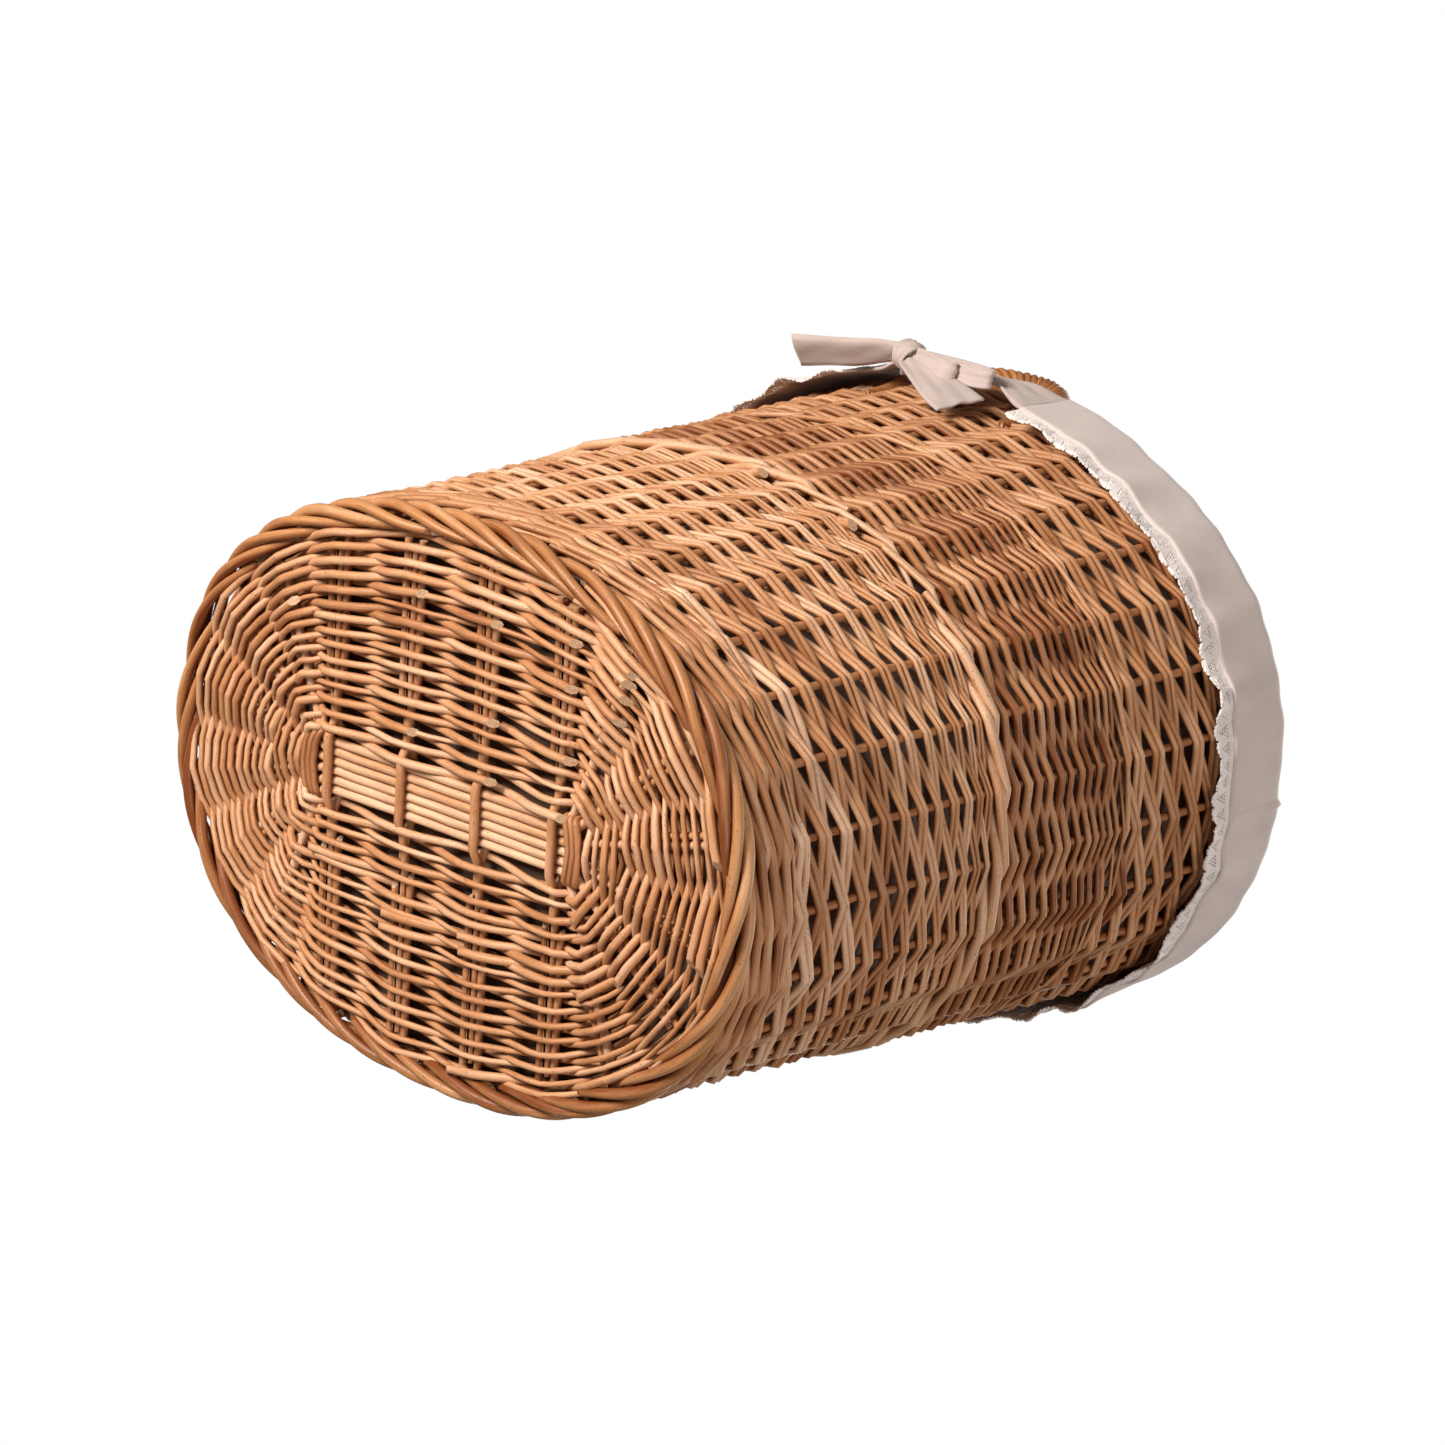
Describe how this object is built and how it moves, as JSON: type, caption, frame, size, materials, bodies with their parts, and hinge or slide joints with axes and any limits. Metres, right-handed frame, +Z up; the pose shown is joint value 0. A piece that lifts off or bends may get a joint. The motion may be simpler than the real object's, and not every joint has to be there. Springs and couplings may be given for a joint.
{
  "type": "lined willow basket",
  "caption": "Tall oval willow basket with two small arch handles and a removable cotton liner, whose lace-edged cuff folds over the rim and ties in bows.",
  "frame": {"origin": "middle of the plane that the foot border stands on", "axes": "+Z up, X along the long axis of the oval, -Y the front with the bow and front handle"},
  "size_m": [0.4408, 0.394, 0.4623],
  "materials": {
    "willow_base": "matt",
    "willow_foot": "satin",
    "willow_side": "satin",
    "willow_handle": "satin",
    "liner_cotton": "matt",
    "cotton_lace": "matt"
  },
  "bodies": {
    "basket": {"base_long_sticks": "willow_base", "base_short_sticks": "willow_base", "base_weave": "willow_base", "foot_border": "willow_foot", "side_stakes": "willow_side", "upsett_wale": "willow_foot", "lower_weave": "willow_side", "middle_wale": "willow_side", "middle_weave": "willow_side", "upper_wale": "willow_side", "upper_weave": "willow_side", "rim_border": "willow_side", "handle_core_front": "willow_handle", "handle_core_back": "willow_handle", "handle_wrap_front": "willow_handle", "handle_wrap_back": "willow_handle"},
    "liner": {"liner_floor": "liner_cotton", "liner_wall_front": "liner_cotton", "liner_wall_back": "liner_cotton", "cuff_left": "liner_cotton", "cuff_right": "liner_cotton", "tie_front_left": "liner_cotton", "tie_front_right": "liner_cotton", "tie_back_left": "liner_cotton", "tie_back_right": "liner_cotton", "lace_left": "cotton_lace", "lace_right": "cotton_lace"}
  },
  "joints": [
    {"name": "liner_lift", "type": "slide", "parent": "basket", "child": "liner", "axis": [0, 0, 1], "range_m": [0, 0.46]}
  ]
}
